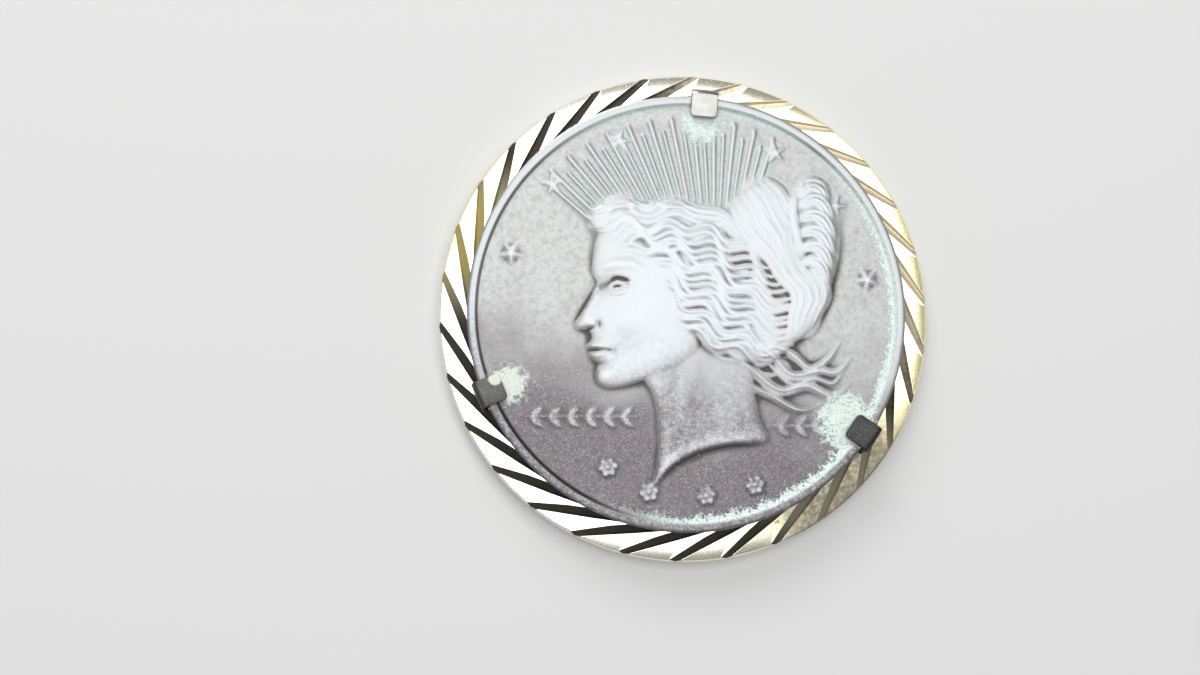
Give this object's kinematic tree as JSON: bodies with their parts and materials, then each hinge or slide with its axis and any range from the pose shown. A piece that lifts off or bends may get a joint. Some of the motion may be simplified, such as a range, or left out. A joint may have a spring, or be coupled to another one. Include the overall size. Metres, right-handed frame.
{
  "type": "coin mount",
  "caption": "open mount for a crown-size coin: the coin rests on a bright-cut gilt ring and is held by folding prongs of a steel claw",
  "frame": {"origin": "middle of the underside, where the claw's washer rests", "axes": "+Z out of the coin's face, +Y to the top of the coin's design, +X to its right"},
  "size_m": [0.0434, 0.0434, 0.0047],
  "materials": {
    "silver": "toned silver",
    "gilt": "bright cut",
    "steel": "satin"
  },
  "bodies": {
    "mount": {"coin": "silver", "cut_ring": "gilt", "claw": "steel"},
    "prong_top": {"prong_top": "steel"},
    "prong_left": {"prong_left": "steel"},
    "prong_right": {"prong_right": "steel"}
  },
  "joints": [
    {"name": "prong_top_fold", "type": "hinge", "parent": "mount", "child": "prong_top", "pos_m": [0.0017, 0.01938, 0.00453], "axis": [-0.9962, 0.0872, 0], "range_deg": [0, 90]},
    {"name": "prong_left_fold", "type": "hinge", "parent": "mount", "child": "prong_left", "pos_m": [-0.01797, -0.00745, 0.00453], "axis": [0.3827, -0.9239, 0], "range_deg": [0, 90]},
    {"name": "prong_right_fold", "type": "hinge", "parent": "mount", "child": "prong_right", "pos_m": [0.01594, -0.01116, 0.00453], "axis": [0.5736, 0.8192, 0], "range_deg": [0, 90]}
  ]
}
